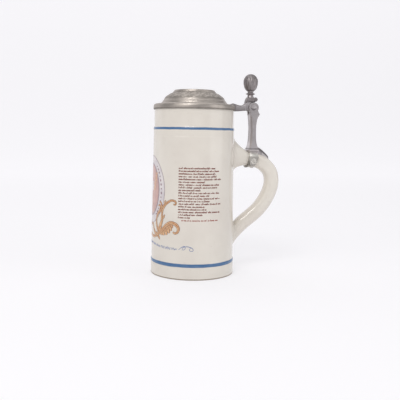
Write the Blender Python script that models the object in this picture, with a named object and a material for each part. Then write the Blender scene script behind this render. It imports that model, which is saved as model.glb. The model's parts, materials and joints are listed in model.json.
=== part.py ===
"""Half-litre stoneware beer stein with a hinged pewter lid.

Frame: the origin is the centre of the foot, on the table. +Z is up along the mug's axis,
+X points at the handle and the lid's hinge, and the lid turns about a pin that lies along Y.
All sizes are in metres.
"""
import math

import bmesh
import bpy
from mathutils import Vector

# ---------------------------------------------------------------- driving dimensions

GAP = 0.0003                    # clearance between pieces that touch or are soldered together

# Stoneware body
BODY_HEIGHT = 0.1640            # table to the top of the rim
INNER_RADIUS = 0.0350           # the straight inside of the mug
FOOT_WALL = 0.0070              # wall thickness at the foot, below the lower bead
LOW_WALL = 0.0063               # above the lower bead
WAIST_WALL = 0.0052             # under the upper bead
RIM_WALL = 0.00445              # above the upper bead, up to the lip
FLOOR_THICKNESS = 0.0090
FLOOR_FILLET = 0.0080           # inside corner between the floor and the wall
FOOT_EDGE = 0.0014              # rounded lower edge of the foot
LOW_BEAD_HEIGHT = 0.0142        # centre of the lower bead above the table
LOW_BEAD_WIDTH = 0.0044
HIGH_BEAD_DROP = 0.0193         # centre of the upper bead below the rim
HIGH_BEAD_WIDTH = 0.0032
BEAD_RISE = 0.0004              # how far the beads stand out of the wall
WAIST_DROP = 0.0330             # the wall is at its narrowest this far below the rim

# Handle
HANDLE_THICKNESS = 0.0147       # measured in the plane of the loop
HANDLE_WIDTH = 0.0150           # measured across the loop, along Y
HANDLE_TOP = 0.1175             # height at which the upper arm's centre line leaves the body
HANDLE_FOOT = 0.0345            # height at which the lower arm's centre line meets the body
HANDLE_REACH = 0.0415           # the wall to the centre line at the bow

# Hinge
PIN_BEYOND_RIM = 0.02085        # hinge axis outside the mug's rim
PIN_ABOVE_RIM = 0.0030
PIN_RADIUS = 0.0016
BORE_CLEARANCE = 0.0003
KNUCKLE_RADIUS = 0.0052
KNUCKLE_WIDTH = 0.0040          # the lid's middle knuckle
EAR_WIDTH = 0.0034              # each of the post's two outer knuckles
SLOT_CLEARANCE = 0.0005         # free space around the middle knuckle
PLUG_RADIUS = 0.0027            # solder plugs over the ends of the pin
PLUG_THICKNESS = 0.0007

# Post
POST_DEPTH = 0.0058             # along X, half way up
POST_SET_BACK = 0.0004          # middle of the post behind the hinge axis
POST_FLARE = 0.0038             # how much wider along Y the post is at its foot
SPUR_REACH = 0.0066             # point of the stop behind the hinge axis
SPUR_DROP = 0.0068              # point of the stop below the hinge axis

# Strap around the handle, with the post soldered on top of it
STRAP_THICKNESS = 0.0014
STRAP_FRONT = 0.0045            # front edge of the band before the hinge axis
STRAP_BACK = 0.0060             # back edge of the band behind the hinge axis
PLATE_RISE = 0.0009             # the square side plates stand out of the band
PLATE_INSET = 0.0008            # border of bare band around the side plates
PLATE_HEIGHT = 0.0108
LEAF_REACH = 0.0185             # rear tongue, from the hinge axis to its tip
LEAF_RISE = 0.0027              # thickness of the tongue over the handle at its tip
LEAF_WIDTH = 0.0110

# Lid
LID_OVERHANG = 0.00105          # the lid's edge outside the mug's rim
LID_SKIRT_CLEARANCE = 0.00045   # lip of the lid outside the mug's rim
LID_SKIRT_DEPTH = 0.0007        # how far the lip hangs below the rim
LID_SKIRT_WALL = 0.0005
LID_FLANGE_HEIGHT = 0.0046
LID_WALL = 0.0020
FLANGE_WIDTH = 0.0087           # the lid's edge to the foot of the dome
DOME_HEIGHT = 0.0137            # from the flange to the top of the ring
DOME_DRAW = 0.0126              # foot of the dome in to the top ring

# Arm that joins the lid to the middle knuckle
TANG_WIDTH = 0.0090
TANG_THICKNESS = 0.0046
TONGUE_LENGTH = 0.0036          # the arm's tip lies on top of the flange
TONGUE_RISE = 0.0012

# Thumblift
THUMB_BEFORE_PIN = 0.0024       # axis of the neck and ball, towards the mug from the hinge axis
SCROLL_WIDTH = 0.0062
SCROLL_HEIGHT = 0.0050
NECK_RADIUS = 0.0029
COLLAR_RADIUS = 0.0044
NECK_HEIGHT = 0.0062            # scroll to the underside of the ball
BALL_RADIUS = 0.0075
BALL_UPPER = 0.0078             # egg shape: above its widest ring
BALL_LOWER = 0.0098             # and below it

ROUND_SEGMENTS = 64             # around the mug and the lid

# Radii, heights and widths that follow from the sizes above
FOOT_RADIUS = INNER_RADIUS + FOOT_WALL
WALL_RADIUS = INNER_RADIUS + LOW_WALL
WAIST_RADIUS = INNER_RADIUS + WAIST_WALL
RIM_RADIUS = INNER_RADIUS + RIM_WALL
LID_RADIUS = RIM_RADIUS + LID_OVERHANG
DOME_RADIUS = LID_RADIUS - FLANGE_WIDTH
TOP_RING_RADIUS = DOME_RADIUS - DOME_DRAW
PIN_X = RIM_RADIUS + PIN_BEYOND_RIM
PIN_Z = BODY_HEIGHT + PIN_ABOVE_RIM
BORE_RADIUS = PIN_RADIUS + BORE_CLEARANCE
HINGE_WIDTH = KNUCKLE_WIDTH + 2 * (EAR_WIDTH + GAP)
LID_UNDER_Z = BODY_HEIGHT + GAP
FLANGE_TOP_Z = LID_UNDER_Z + LID_FLANGE_HEIGHT
SCROLL_Z = PIN_Z + KNUCKLE_RADIUS + GAP


# ---------------------------------------------------------------- small modelling tools

def clear_objects():
    for thing in list(bpy.data.objects):
        bpy.data.objects.remove(thing, do_unlink=True)


def plain_material(name, colour, metallic, roughness):
    material = bpy.data.materials.new(name)
    material.use_nodes = True
    shader = material.node_tree.nodes["Principled BSDF"]
    shader.inputs["Base Color"].default_value = (*colour, 1.0)
    shader.inputs["Metallic"].default_value = metallic
    shader.inputs["Roughness"].default_value = roughness
    return material


def arc(centre, radius, start, end, steps):
    """Points on an arc in a plane, with the angles in degrees."""
    points = []
    for step in range(steps + 1):
        angle = math.radians(start + (end - start) * step / steps)
        points.append((centre[0] + radius * math.cos(angle), centre[1] + radius * math.sin(angle)))
    return points


def smooth_path(points, steps):
    """A Catmull-Rom curve through points of any dimension."""
    padded = [points[0], *points, points[-1]]
    path = []
    for index in range(1, len(padded) - 2):
        before, start, end, after = padded[index - 1:index + 3]
        for step in range(steps):
            t = step / steps
            path.append(tuple(
                0.5 * (2 * b + (c - a) * t + (2 * a - 5 * b + 4 * c - d) * t ** 2
                       + (3 * b - a - 3 * c + d) * t ** 3)
                for a, b, c, d in zip(before, start, end, after)))
    path.append(tuple(points[-1]))
    return path


def solid(name, vertices, faces, material, smooth_angle=35.0):
    """A closed mesh object with outward faces, shaded smooth up to an angle."""
    mesh = bpy.data.meshes.new(name)
    mesh.from_pydata([tuple(v) for v in vertices], [], faces)
    working = bmesh.new()
    working.from_mesh(mesh)
    bmesh.ops.recalc_face_normals(working, faces=working.faces)
    working.to_mesh(mesh)
    working.free()
    mesh.shade_smooth()
    mesh.set_sharp_from_angle(angle=math.radians(smooth_angle))
    thing = bpy.data.objects.new(name, mesh)
    bpy.context.scene.collection.objects.link(thing)
    if material:
        mesh.materials.append(material)
    return thing


def lathe(name, profile, material, segments=ROUND_SEGMENTS, centre=(0.0, 0.0), smooth_angle=35.0):
    """Turns a profile of (radius, height) points, both ends on the axis, about a vertical axis."""
    vertices, rings = [], []
    for radius, height in profile:
        if radius == 0.0:
            rings.append([len(vertices)])
            vertices.append((centre[0], centre[1], height))
            continue
        rings.append(list(range(len(vertices), len(vertices) + segments)))
        for step in range(segments):
            angle = 2 * math.pi * step / segments
            vertices.append((centre[0] + radius * math.cos(angle),
                             centre[1] + radius * math.sin(angle), height))
    faces = []
    for lower, upper in zip(rings, rings[1:]):
        for step in range(segments):
            following = (step + 1) % segments
            corners = [lower[step % len(lower)], lower[following % len(lower)],
                       upper[following % len(upper)], upper[step % len(upper)]]
            faces.append(list(dict.fromkeys(corners)))
    return solid(name, vertices, faces, material, smooth_angle)


def prism(name, outline, along, low, high, material=None, smooth_angle=35.0):
    """Extrudes an outline along an axis: (x, z) points along Y, (y, z) along X, (x, y) along Z."""
    place = {"X": lambda a, b, depth: (depth, a, b), "Y": lambda a, b, depth: (a, depth, b),
             "Z": lambda a, b, depth: (a, b, depth)}[along]
    count = len(outline)
    vertices = [place(a, b, depth) for depth in (low, high) for a, b in outline]
    faces = [list(range(count)), list(range(2 * count - 1, count - 1, -1))]
    for step in range(count):
        following = (step + 1) % count
        faces.append([step, following, count + following, count + step])
    return solid(name, vertices, faces, material, smooth_angle)


def sweep(name, stations, material, sides=24, squareness=2.4, grow=0.0):
    """A rounded bar through stations of (x, z, half thickness, half width) in the XZ plane."""
    vertices = []
    for index, (x, z, thick, wide) in enumerate(stations):
        before = stations[max(index - 1, 0)]
        after = stations[min(index + 1, len(stations) - 1)]
        along = Vector((after[0] - before[0], 0, after[1] - before[1])).normalized()
        outward = Vector((-along.z, 0, along.x))
        for step in range(sides):
            angle = 2 * math.pi * step / sides
            ahead, across = math.cos(angle), math.sin(angle)
            ahead = math.copysign(abs(ahead) ** (2 / squareness), ahead)
            across = math.copysign(abs(across) ** (2 / squareness), across)
            offset = outward * (thick + grow) * ahead
            vertices.append((x + offset.x, (wide + grow) * across, z + offset.z))
    faces = [list(range(sides)), list(range(len(vertices) - 1, len(vertices) - sides - 1, -1))]
    for ring in range(len(stations) - 1):
        for step in range(sides):
            following = (step + 1) % sides
            first = ring * sides
            faces.append([first + step, first + following,
                          first + sides + following, first + sides + step])
    return solid(name, vertices, faces, material, 60.0)


def cutter(thing):
    thing.hide_render = True
    thing.display_type = 'WIRE'
    return thing


def cut(target, tool, operation='DIFFERENCE'):
    modifier = target.modifiers.new(operation.title() + " " + tool.name, 'BOOLEAN')
    modifier.operation = operation
    modifier.solver = 'EXACT'
    modifier.object = cutter(tool)


def rod(name, radius, y_low, y_high, material=None, sides=24):
    """A round bar along Y on the hinge axis."""
    outline = arc((PIN_X, PIN_Z), radius, 0, 360 - 360 / sides, sides - 1)
    return prism(name, outline, "Y", y_low, y_high, material)


# ---------------------------------------------------------------- stoneware

def bead(centre_z, width, wall_below, wall_above):
    """Four points of a low ring on the wall, from its lower to its upper edge."""
    crest = (wall_below + wall_above) / 2 + BEAD_RISE
    return [(wall_below, centre_z - width / 2), (crest, centre_z - width / 4),
            (crest, centre_z + width / 4), (wall_above, centre_z + width / 2)]


def body_outside():
    """The outer wall from the foot to the rim, as (radius, height) points."""
    wall_start = LOW_BEAD_HEIGHT + LOW_BEAD_WIDTH
    waist_z = BODY_HEIGHT - WAIST_DROP
    profile = arc((FOOT_RADIUS - FOOT_EDGE, FOOT_EDGE), FOOT_EDGE, -90, 0, 3)
    profile += bead(LOW_BEAD_HEIGHT, LOW_BEAD_WIDTH, FOOT_RADIUS, WALL_RADIUS)
    for share in (0.3, 0.5, 0.65, 0.8, 1.0):
        eased = share * share * (3 - 2 * share)
        profile.append((WALL_RADIUS + (WAIST_RADIUS - WALL_RADIUS) * eased,
                        wall_start + (waist_z - wall_start) * share))
    profile += bead(BODY_HEIGHT - HIGH_BEAD_DROP, HIGH_BEAD_WIDTH, WAIST_RADIUS, RIM_RADIUS)
    return profile


def make_body(glaze):
    lip = (RIM_RADIUS - INNER_RADIUS) / 2
    profile = [(0.0, 0.0), *body_outside()]
    profile += arc((INNER_RADIUS + lip, BODY_HEIGHT - lip), lip, 0, 180, 6)
    corner = (INNER_RADIUS - FLOOR_FILLET, FLOOR_THICKNESS + FLOOR_FILLET)
    profile += arc(corner, FLOOR_FILLET, 0, -90, 4)
    profile.append((0.0, FLOOR_THICKNESS))
    return lathe("stoneware_body", profile, glaze)


def body_envelope():
    """The body's outer shape grown by the gap, for cutting the pieces that meet the wall."""
    beyond = 0.02
    outside = [(radius + GAP, height) for radius, height in body_outside()]
    profile = [(0.0, -beyond), (outside[0][0], -beyond), *outside]
    profile += [(RIM_RADIUS + GAP, BODY_HEIGHT + beyond), (0.0, BODY_HEIGHT + beyond)]
    return lathe("body_envelope", profile, None)


def handle_stations():
    """Centre line of the loop with its half thickness and half width, from top to bottom."""
    drop = HANDLE_TOP - HANDLE_FOOT         # height between the two roots
    # Each row is a share of the reach, of the drop, of the thickness and of the width.
    shape = [(-0.06, -0.010, 2.30, 1.45), (0.04, -0.014, 1.84, 1.28), (0.10, -0.014, 1.50, 1.14),
             (0.18, -0.016, 1.19, 1.05), (0.30, -0.022, 1.01, 1.00), (0.485, -0.033, 1.00, 1.00),
             (0.655, -0.056, 1.00, 1.00), (0.80, -0.097, 1.00, 1.00), (0.945, -0.178, 1.00, 1.00),
             (1.00, -0.290, 1.00, 1.00), (0.962, -0.409, 1.00, 1.00), (0.835, -0.541, 1.00, 1.00),
             (0.672, -0.648, 1.00, 1.00), (0.496, -0.729, 1.00, 1.00), (0.246, -0.828, 1.00, 1.00),
             (0.121, -0.903, 0.95, 1.02), (0.03, -1.00, 0.80, 1.06), (-0.07, -1.12, 0.74, 1.10)]
    stations = [(WALL_RADIUS + across * HANDLE_REACH, HANDLE_TOP + down * drop,
                 deep * HANDLE_THICKNESS / 2, wide * HANDLE_WIDTH / 2)
                for across, down, deep, wide in shape]
    return smooth_path(stations, 3)


def handle_axis_height(x):
    """Height of the upper arm's centre line at a distance from the body axis."""
    stations = handle_stations()
    for near, far in zip(stations, stations[1:]):
        if near[0] <= x <= far[0]:
            return near[1] + (far[1] - near[1]) * (x - near[0]) / (far[0] - near[0])
    return stations[-1][1]


def make_handle(glaze):
    handle = sweep("stoneware_handle", handle_stations(), glaze)
    cut(handle, body_envelope())
    return handle


# ---------------------------------------------------------------- pewter lid

def make_lid(pewter):
    skirt_inside = RIM_RADIUS + LID_SKIRT_CLEARANCE
    skirt_z = BODY_HEIGHT - LID_SKIRT_DEPTH
    edge = LID_FLANGE_HEIGHT * 0.42
    top_z = FLANGE_TOP_Z + DOME_HEIGHT
    dome_foot = FLANGE_TOP_Z + 0.0018
    ring_foot = top_z - 0.0018
    outside = [(skirt_inside + LID_SKIRT_WALL, skirt_z), (LID_RADIUS - 0.0003, LID_UNDER_Z)]
    outside += arc((LID_RADIUS - edge, FLANGE_TOP_Z - edge), edge, 0, 75, 4)
    outside += [(DOME_RADIUS + 0.0030, FLANGE_TOP_Z + 0.0003), (DOME_RADIUS + 0.0004, dome_foot - 0.0008)]
    for step in range(6):
        share = step / 5
        drawn_in = (DOME_RADIUS - TOP_RING_RADIUS - 0.0008) * share ** 1.5
        outside.append((DOME_RADIUS - drawn_in, dome_foot + (ring_foot - dome_foot) * share))
    outside += [(TOP_RING_RADIUS + 0.0002, ring_foot + 0.0005), (TOP_RING_RADIUS, top_z - 0.0006),
                (TOP_RING_RADIUS - 0.0012, top_z), (TOP_RING_RADIUS - 0.0028, top_z - 0.0008),
                (0.0, top_z - 0.0014)]
    hollow = DOME_RADIUS - LID_WALL
    inside = [(0.0, top_z - 0.0014 - LID_WALL), (TOP_RING_RADIUS - LID_WALL, top_z - 0.0014 - LID_WALL),
              (hollow - 0.0042, ring_foot - 0.0050), (hollow, dome_foot), (hollow, LID_UNDER_Z),
              (skirt_inside, LID_UNDER_Z), (skirt_inside, skirt_z)]
    return lathe("lid", inside + outside, pewter)


def make_tang(pewter):
    """Arm that is soldered to the lid's edge and carries the middle knuckle of the hinge."""
    arm_top = FLANGE_TOP_Z + GAP
    arm_under = FLANGE_TOP_Z - LID_FLANGE_HEIGHT - 0.0006
    tongue_x = LID_RADIUS - TONGUE_LENGTH
    arm_end = PIN_X - KNUCKLE_RADIUS - SLOT_CLEARANCE
    side = [(tongue_x, arm_top), (tongue_x + 0.0004, arm_top + TONGUE_RISE * 0.6),
            (tongue_x + 0.0018, arm_top + TONGUE_RISE), (tongue_x + 0.0040, arm_top + TONGUE_RISE * 0.5),
            (LID_RADIUS + 0.0050, arm_under + TANG_THICKNESS + 0.0009),
            (arm_end - 0.0040, arm_under + TANG_THICKNESS + 0.0012),
            (arm_end - 0.0020, PIN_Z + 0.0038), (arm_end - 0.0010, SCROLL_Z - GAP),
            (arm_end, SCROLL_Z - GAP), (arm_end, arm_under + 0.0004),
            (LID_RADIUS + 0.0040, arm_under + 0.0003), (LID_RADIUS + GAP, arm_under - 0.0003),
            (LID_RADIUS + GAP, arm_top - 0.0010), (LID_RADIUS - 0.0010, arm_top)]
    tang = prism("lid_tang", side, "Y", -TANG_WIDTH / 2, TANG_WIDTH / 2, pewter)
    half = KNUCKLE_WIDTH / 2
    knuckle = arc((PIN_X, PIN_Z), KNUCKLE_RADIUS, -112, 90, 14)
    knuckle += [(arm_end - 0.0005, SCROLL_Z - GAP), (arm_end - 0.0015, PIN_Z - 0.0010),
                (arm_end - 0.0010, arm_under + 0.0012), (arm_end + 0.0008, arm_under + 0.0005)]
    cut(tang, prism("knuckle_body", knuckle, "Y", -half, half), 'UNION')
    cut(tang, rod("knuckle_bore", BORE_RADIUS, -HINGE_WIDTH, HINGE_WIDTH))
    return tang


def thumblift_profile(axis_z):
    """Neck, collar and egg-shaped ball as (radius, height) points, from the scroll upwards."""
    ball_z = axis_z + NECK_HEIGHT + BALL_LOWER * math.sqrt(1 - (NECK_RADIUS / BALL_RADIUS) ** 2)
    collar_z = axis_z + NECK_HEIGHT * 0.55
    profile = [(0.0, axis_z - 0.0015), (NECK_RADIUS * 1.15, axis_z - 0.0015), (NECK_RADIUS, axis_z + 0.0014),
               (NECK_RADIUS * 1.05, collar_z - 0.0014), (COLLAR_RADIUS, collar_z - 0.0002),
               (COLLAR_RADIUS, collar_z + 0.0003), (NECK_RADIUS * 1.1, collar_z + 0.0013)]
    for step in range(11):
        angle = math.radians(-60 + 15 * step)
        height = (BALL_LOWER if angle < 0 else BALL_UPPER) * math.sin(angle)
        profile.append((BALL_RADIUS * math.cos(angle) if step < 10 else 0.0, ball_z + height))
    return profile


def make_thumblift(pewter):
    """Scrolled base with a ball on a turned neck, soldered on top of the arm."""
    axis_x = PIN_X - THUMB_BEFORE_PIN
    top_z = SCROLL_Z + SCROLL_HEIGHT
    back_knob = arc((PIN_X + 0.0024, top_z - 0.0022), 0.0021, -70, 110, 6)
    front = [(axis_x + 0.0014, top_z), (axis_x - 0.0014, top_z), (axis_x - 0.0034, top_z - 0.0012),
             (axis_x - 0.0045, top_z - 0.0032), (axis_x - 0.0050, SCROLL_Z), (PIN_X + 0.0020, SCROLL_Z)]
    half = SCROLL_WIDTH / 2
    thumblift = prism("thumblift", back_knob + front, "Y", -half, half, pewter)
    ball = lathe("ball_and_neck", thumblift_profile(top_z), None, 24, (axis_x, 0.0))
    cut(thumblift, ball, 'UNION')
    return thumblift


# ---------------------------------------------------------------- post and strap

def strap_outline():
    """Side view of the band, as (x, z) points, reaching well past the handle above and below."""
    arm_z = handle_axis_height(PIN_X)
    front = PIN_X - STRAP_FRONT
    back = PIN_X + STRAP_BACK
    reach = HANDLE_THICKNESS
    return [(front - 0.0006, arm_z - reach), (PIN_X + 0.0005, arm_z - reach),
            (PIN_X + 0.0016, arm_z - HANDLE_THICKNESS * 0.54), (back - 0.0022, arm_z - 0.0040),
            (back - 0.0009, arm_z), (back - 0.0003, arm_z + 0.0035), (back, arm_z + reach),
            (front - 0.0006, arm_z + reach), (front - 0.0003, arm_z + HANDLE_THICKNESS * 0.58),
            (front + 0.0008, arm_z + 0.0035), (front + 0.0006, arm_z - 0.0010),
            (front, arm_z - HANDLE_THICKNESS * 0.40)]


def grown_handle(name, grow):
    return sweep(name, handle_stations(), None, grow=grow)


def strap_envelope():
    """What the post keeps clear of: the band grown by the gap."""
    middle = PIN_X + (STRAP_BACK - STRAP_FRONT) / 2
    outline = [(x + math.copysign(GAP, x - middle), z) for x, z in strap_outline()]
    envelope = prism("strap_envelope", outline, "Y", -HANDLE_WIDTH, HANDLE_WIDTH)
    cut(envelope, grown_handle("strap_outer_skin", STRAP_THICKNESS + GAP), 'INTERSECT')
    return cutter(envelope)


def make_strap(pewter):
    """Band around the upper arm of the handle, with a square plate on each side."""
    arm_z = handle_axis_height(PIN_X)
    half = HANDLE_WIDTH / 2
    strap = prism("handle_strap", strap_outline(), "Y", -HANDLE_WIDTH, HANDLE_WIDTH, pewter)
    cut(strap, grown_handle("strap_skin", STRAP_THICKNESS), 'INTERSECT')
    front = PIN_X - STRAP_FRONT + 0.0008 + PLATE_INSET
    back = PIN_X + STRAP_BACK - 0.0003 - PLATE_INSET
    low_z = arm_z - PLATE_HEIGHT / 2 - 0.0018
    plate = [(front, low_z), (back - 0.0038, low_z), (back, low_z + PLATE_HEIGHT), (front, low_z + PLATE_HEIGHT)]
    for side, name in ((-1, "plate_near"), (1, "plate_far")):
        inner, outer = side * half * 0.8, side * (half + STRAP_THICKNESS + PLATE_RISE)
        cut(strap, prism(name, plate, "Y", min(inner, outer), max(inner, outer)), 'UNION')
    cut(strap, grown_handle("handle_clearance", GAP))
    return strap


def post_outline():
    """Side view of the post from the ears down to its foot inside the strap."""
    arm_z = handle_axis_height(PIN_X)
    foot_z = arm_z + HANDLE_THICKNESS / 2 + STRAP_THICKNESS
    head_z = PIN_Z - KNUCKLE_RADIUS
    front = PIN_X + POST_SET_BACK - POST_DEPTH / 2
    back = front + POST_DEPTH
    tall = head_z - foot_z
    spur_x = PIN_X + SPUR_REACH
    spur_z = PIN_Z - SPUR_DROP
    ears = arc((PIN_X, PIN_Z), KNUCKLE_RADIUS, -32, 218, 18)
    front_side = [(front - 0.0008, head_z + 0.0002), (front - 0.0002, head_z - 0.0040),
                  (front, head_z - 0.35 * tall), (front, foot_z + 0.34 * tall),
                  (front - 0.0010, foot_z + 0.13 * tall), (PIN_X - STRAP_FRONT - 0.0004, foot_z - 0.0012),
                  (PIN_X - STRAP_FRONT, arm_z)]
    back_side = [(PIN_X + STRAP_BACK - 0.0010, arm_z), (PIN_X + STRAP_BACK - 0.0002, foot_z + 0.0020),
                 (back + 0.0010, foot_z + 0.16 * tall), (back + 0.0002, foot_z + 0.34 * tall),
                 (back, head_z - 0.33 * tall), (back + 0.0016, spur_z - 0.0042),
                 (spur_x - 0.0008, spur_z - 0.0010), (spur_x, spur_z), (spur_x - 0.0009, spur_z + 0.0012)]
    return ears + front_side + back_side


def make_post(pewter):
    """Fork of the hinge on a tall post, with a tongue lying along the handle's back."""
    arm_z = handle_axis_height(PIN_X)
    foot_z = arm_z + HANDLE_THICKNESS / 2
    half = HINGE_WIDTH / 2
    wide = half + POST_FLARE / 2
    post = prism("hinge_post", post_outline(), "Y", -HANDLE_WIDTH, HANDLE_WIDTH, pewter)
    flare_z = foot_z + 0.0130
    front_view = [(-wide, arm_z - 0.01), (wide, arm_z - 0.01), (wide, foot_z), (half + 0.0006, flare_z - 0.0060),
                  (half, flare_z), (half, PIN_Z + 0.01), (-half, PIN_Z + 0.01), (-half, flare_z),
                  (-half - 0.0006, flare_z - 0.0060), (-wide, foot_z)]
    cut(post, prism("post_front_view", front_view, "X", 0.0, 2 * PIN_X), 'INTERSECT')

    tip_x = PIN_X + LEAF_REACH
    tip_z = handle_axis_height(tip_x)
    root_x = PIN_X + 0.0010
    crest_x = PIN_X + 0.0084
    leaf_side = [(root_x, arm_z), (tip_x - 0.0030, tip_z - 0.0040), (tip_x, tip_z + 0.0060),
                 (tip_x - 0.0004, tip_z + HANDLE_THICKNESS * 0.62), (tip_x - 0.0014, tip_z + HANDLE_THICKNESS * 0.73),
                 (crest_x, foot_z + 0.0040 + (LEAF_RISE - 0.0027)), (PIN_X + 0.0062, foot_z + 0.0054),
                 (root_x, foot_z + 0.0075)]
    leaf = prism("rear_leaf", leaf_side, "Y", -LEAF_WIDTH / 2, LEAF_WIDTH / 2)
    narrow = LEAF_WIDTH * 0.30
    plan = [(root_x - 0.001, -LEAF_WIDTH / 2), (crest_x, -LEAF_WIDTH / 2), (tip_x - 0.0030, -LEAF_WIDTH * 0.42),
            (tip_x + 0.0002, -narrow / 2), (tip_x + 0.0002, narrow / 2), (tip_x - 0.0030, LEAF_WIDTH * 0.42),
            (crest_x, LEAF_WIDTH / 2), (root_x - 0.001, LEAF_WIDTH / 2)]
    cut(leaf, prism("leaf_plan", plan, "Z", 0.0, PIN_Z), 'INTERSECT')
    cut(post, leaf, 'UNION')

    cut(post, strap_envelope())
    cut(post, grown_handle("leaf_clearance", GAP))
    slot_half = KNUCKLE_WIDTH / 2 + GAP
    slot = arc((PIN_X, PIN_Z), KNUCKLE_RADIUS + SLOT_CLEARANCE, 180, 360, 12)
    beyond = 2 * KNUCKLE_RADIUS
    slot += [(PIN_X + beyond, PIN_Z), (PIN_X + beyond, PIN_Z + beyond),
             (PIN_X - beyond, PIN_Z + beyond), (PIN_X - beyond, PIN_Z)]
    cut(post, prism("knuckle_slot", slot, "Y", -slot_half, slot_half))
    cut(post, rod("ear_bore", BORE_RADIUS, -HINGE_WIDTH, HINGE_WIDTH))
    return post


def make_pin(steel, pewter):
    half = HINGE_WIDTH / 2
    rod("hinge_pin", PIN_RADIUS, -half, half, steel)
    rod("pin_plug_right", PLUG_RADIUS, -half - GAP - PLUG_THICKNESS, -half - GAP, pewter)
    rod("pin_plug_left", PLUG_RADIUS, half + GAP, half + GAP + PLUG_THICKNESS, pewter)


def build():
    clear_objects()
    glaze = plain_material("cream_glaze", (0.68, 0.62, 0.53), 0.0, 0.22)
    pewter = plain_material("pewter", (0.30, 0.29, 0.28), 1.0, 0.38)
    steel = plain_material("pin_steel", (0.36, 0.36, 0.36), 1.0, 0.35)
    make_body(glaze)
    make_handle(glaze)
    make_lid(pewter)
    make_tang(pewter)
    make_thumblift(pewter)
    make_strap(pewter)
    make_post(pewter)
    make_pin(steel, pewter)


build()
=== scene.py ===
import json
import math
import random

import bmesh
import bpy
from mathutils import Matrix, Vector


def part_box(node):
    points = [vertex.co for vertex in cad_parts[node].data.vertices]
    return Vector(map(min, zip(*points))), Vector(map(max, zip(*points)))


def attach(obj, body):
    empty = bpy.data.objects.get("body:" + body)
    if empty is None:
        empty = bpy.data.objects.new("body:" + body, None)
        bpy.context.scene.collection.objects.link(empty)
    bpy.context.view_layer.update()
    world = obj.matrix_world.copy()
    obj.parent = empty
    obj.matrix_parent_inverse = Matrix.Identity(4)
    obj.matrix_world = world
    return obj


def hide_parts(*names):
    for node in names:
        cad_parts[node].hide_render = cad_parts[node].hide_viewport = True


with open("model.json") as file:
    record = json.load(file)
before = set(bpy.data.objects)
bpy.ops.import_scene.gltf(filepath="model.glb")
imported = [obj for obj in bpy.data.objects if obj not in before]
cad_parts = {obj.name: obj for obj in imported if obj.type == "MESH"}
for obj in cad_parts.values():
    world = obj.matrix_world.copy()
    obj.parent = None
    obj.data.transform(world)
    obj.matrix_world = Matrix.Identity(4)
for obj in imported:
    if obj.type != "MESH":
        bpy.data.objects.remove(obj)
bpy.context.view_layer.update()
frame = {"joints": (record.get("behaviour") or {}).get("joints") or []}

# ---------------- sizes, in metres

MM = 0.001

body_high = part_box("stoneware_body")[1]
lid_low, lid_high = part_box("lid")
thumb_low, thumb_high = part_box("thumblift")
PIN_X, _, PIN_Z = frame["joints"][0]["pos_m"]

FOOT_R = body_high[0] - 0.1 * MM        # the mug's foot
RIM_Z = body_high[2]
INNER_R = 35.0 * MM                     # straight inside of the mug
WALL_R = 41.3 * MM                      # outside, above the lower bead
WAIST_R = 40.2 * MM                     # outside, under the upper bead
RIM_R = 39.45 * MM                      # outside, at the mouth
LOW_BEAD_Z = 14.2 * MM
LOW_BEAD_W = 4.4 * MM
HIGH_BEAD_Z = RIM_Z - 19.3 * MM
HIGH_BEAD_W = 3.2 * MM
WAIST_Z = RIM_Z - 33.0 * MM
STEP_Z = RIM_Z - 26.8 * MM              # faint line left by the turning rib

KNUCKLE_R = 5.2 * MM
KNUCKLE_W = 4.0 * MM
EAR_W = 3.4 * MM
GAP = 0.3 * MM
HINGE_W = KNUCKLE_W + 2 * (EAR_W + GAP)

# The loop of the handle: distance from the axis, height, half thickness, half width, in mm.
HANDLE_ROUTE = [
    (49.6, 116.7, 9.2, 7.9), (54.0, 115.9, 7.5, 7.5), (61.0, 114.8, 7.35, 7.5), (68.5, 112.8, 7.35, 7.5),
    (74.6, 109.3, 7.35, 7.5), (80.6, 102.6, 7.35, 7.5), (82.8, 93.5, 7.35, 7.5), (81.2, 83.6, 7.35, 7.5),
    (76.0, 72.6, 7.35, 7.5), (69.2, 63.7, 7.35, 7.5), (61.8, 57.0, 7.35, 7.5), (53.0, 50.0, 7.25, 7.5),
    (48.4, 45.6, 7.1, 7.5)]
HANDLE_SIDES = 56                       # points round one section of the handle
HANDLE_SQUARENESS = 2.6                 # 2 is an ellipse, more is squarer


# ---------------- modelling tools

def lerp(a, b, t):
    return a + (b - a) * t


def smoothstep(low, high, value):
    t = min(max((value - low) / (high - low), 0.0), 1.0)
    return t * t * (3 - 2 * t)


def curve_through(points, steps):
    """A Catmull-Rom curve through points of any dimension, with both ends kept."""
    padded = [points[0], *points, points[-1]]
    path = []
    for index in range(1, len(padded) - 2):
        a, b, c, d = padded[index - 1:index + 3]
        for step in range(steps):
            t = step / steps
            path.append(tuple(
                0.5 * (2 * q + (r - p) * t + (2 * p - 5 * q + 4 * r - s) * t ** 2
                       + (3 * q - p - 3 * r + s) * t ** 3)
                for p, q, r, s in zip(a, b, c, d)))
    path.append(tuple(points[-1]))
    return path


def table_value(rows, x):
    """Reads a value off (x, value) rows that rise in x, with straight lines between them."""
    for (x0, v0), (x1, v1) in zip(rows, rows[1:]):
        if x <= x1:
            return lerp(v0, v1, min(max((x - x0) / (x1 - x0), 0.0), 1.0))
    return rows[-1][1]


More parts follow.
